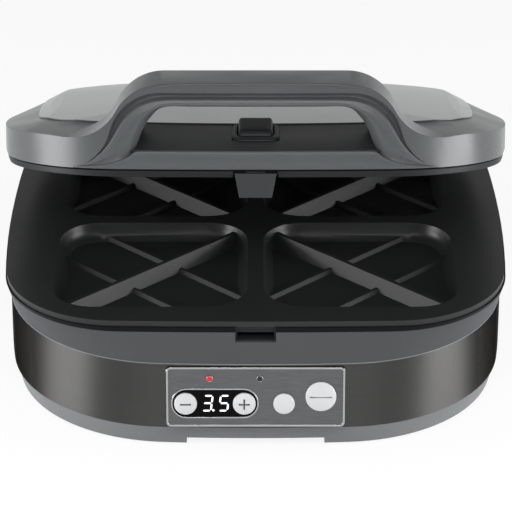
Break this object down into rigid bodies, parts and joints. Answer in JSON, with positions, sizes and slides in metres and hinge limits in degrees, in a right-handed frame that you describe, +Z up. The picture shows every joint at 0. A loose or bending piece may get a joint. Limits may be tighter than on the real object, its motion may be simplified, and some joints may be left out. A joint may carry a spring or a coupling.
{
  "type": "sandwich maker",
  "caption": "Electric sandwich maker with a hinged lid, arched handle with a press latch, non-stick plates with triangular wells and a front control panel.",
  "frame": {"origin": "on the table, under the middle of the housing", "axes": "+Z up, the front with the control panel towards -Y, +X to the right seen from the front"},
  "size_m": [0.341, 0.3625, 0.2449],
  "materials": {
    "housing_plastic": "satin moulded plastic, dark grey",
    "lid_plastic": "satin moulded plastic, slate grey",
    "rim_plastic": "fine-grained black plastic",
    "band_steel": "brushed dark steel",
    "inlay_steel": "brushed light steel",
    "grill_aluminium": "black non-stick coating",
    "gloss_black": "glossy black plastic",
    "hook_plastic": "satin grey plastic",
    "key_silver": "silver lacquered plastic",
    "panel_metal": "brushed dark lacquer",
    "trim_chrome": "polished trim",
    "lamp_red": "clear red lens",
    "lamp_dark": "smoked lens",
    "foot_rubber": "black rubber",
    "hinge_metal": "grey painted metal",
    "pin_steel": "plain steel",
    "heater_steel": "heat-toned steel",
    "reflector_sheet": "bright sheet",
    "board_laminate": "green laminate",
    "component_plastic": "moulded component"
  },
  "bodies": {
    "base": {"base_tray": "housing_plastic", "rubber_feet": "foot_rubber", "tray_screws": "pin_steel", "steel_band": "band_steel", "cord_gland": "rim_plastic", "base_frame": "housing_plastic", "plate_screws": "pin_steel", "lower_plate": "grill_aluminium", "lower_heater": "heater_steel", "lower_reflector": "reflector_sheet", "temperature_sensor": "component_plastic", "thermal_fuse": "component_plastic", "panel_bezel": "trim_chrome", "control_panel": "panel_metal", "display_window": "gloss_black", "display_trim": "trim_chrome", "digit_module": "component_plastic", "power_lamp": "lamp_red", "ready_lamp": "lamp_dark", "control_board": "board_laminate", "tact_switches": "component_plastic", "power_board": "board_laminate", "relay": "component_plastic", "transformer": "component_plastic", "latch_strike": "rim_plastic", "hinge_brackets": "hinge_metal", "hinge_pins": "pin_steel"},
    "lid": {"lid_hinge_arms": "hinge_metal", "lid_frame": "rim_plastic", "upper_plate": "grill_aluminium", "upper_heater": "heater_steel", "upper_reflector": "reflector_sheet", "lid_screws": "pin_steel", "lid_cover": "lid_plastic", "lid_inlay": "inlay_steel", "latch_pin": "pin_steel", "finger_tray": "gloss_black", "grip_frame": "lid_plastic", "latch_bezel": "gloss_black", "latch_spring": "pin_steel"},
    "latch": {"latch_button": "gloss_black", "latch_hook": "hook_plastic"},
    "minus_button": {"minus_button": "key_silver"},
    "plus_button": {"plus_button": "key_silver"},
    "extra_button": {"extra_button": "key_silver"},
    "start_button": {"start_button": "key_silver"}
  },
  "joints": [
    {"name": "lid_hinge", "type": "hinge", "parent": "base", "child": "lid", "pos_m": [0, 0.161, 0.1005], "axis": [-1, 0, 0], "range_deg": [-16.7, 83.3]},
    {"name": "latch_rock", "type": "hinge", "parent": "lid", "child": "latch", "pos_m": [0, -0.1434, 0.196], "axis": [-1, 0, 0], "range_deg": [0, 6.3], "stiffness_Nm_per_rad": 0.5, "springref_deg": -8.59},
    {"name": "minus_press", "type": "slide", "parent": "base", "child": "minus_button", "axis": [0, 0.9903, -0.1392], "range_m": [0, 0.0006], "stiffness_N_per_m": 2000, "springref_m": -0.0003},
    {"name": "plus_press", "type": "slide", "parent": "base", "child": "plus_button", "axis": [0, 0.9903, -0.1392], "range_m": [0, 0.0006], "stiffness_N_per_m": 2000, "springref_m": -0.0003},
    {"name": "extra_press", "type": "slide", "parent": "base", "child": "extra_button", "axis": [0, 0.9903, -0.1392], "range_m": [0, 0.0006], "stiffness_N_per_m": 2000, "springref_m": -0.0003},
    {"name": "start_press", "type": "slide", "parent": "base", "child": "start_button", "axis": [0, 0.9903, -0.1392], "range_m": [0, 0.0006], "stiffness_N_per_m": 2000, "springref_m": -0.0003}
  ]
}
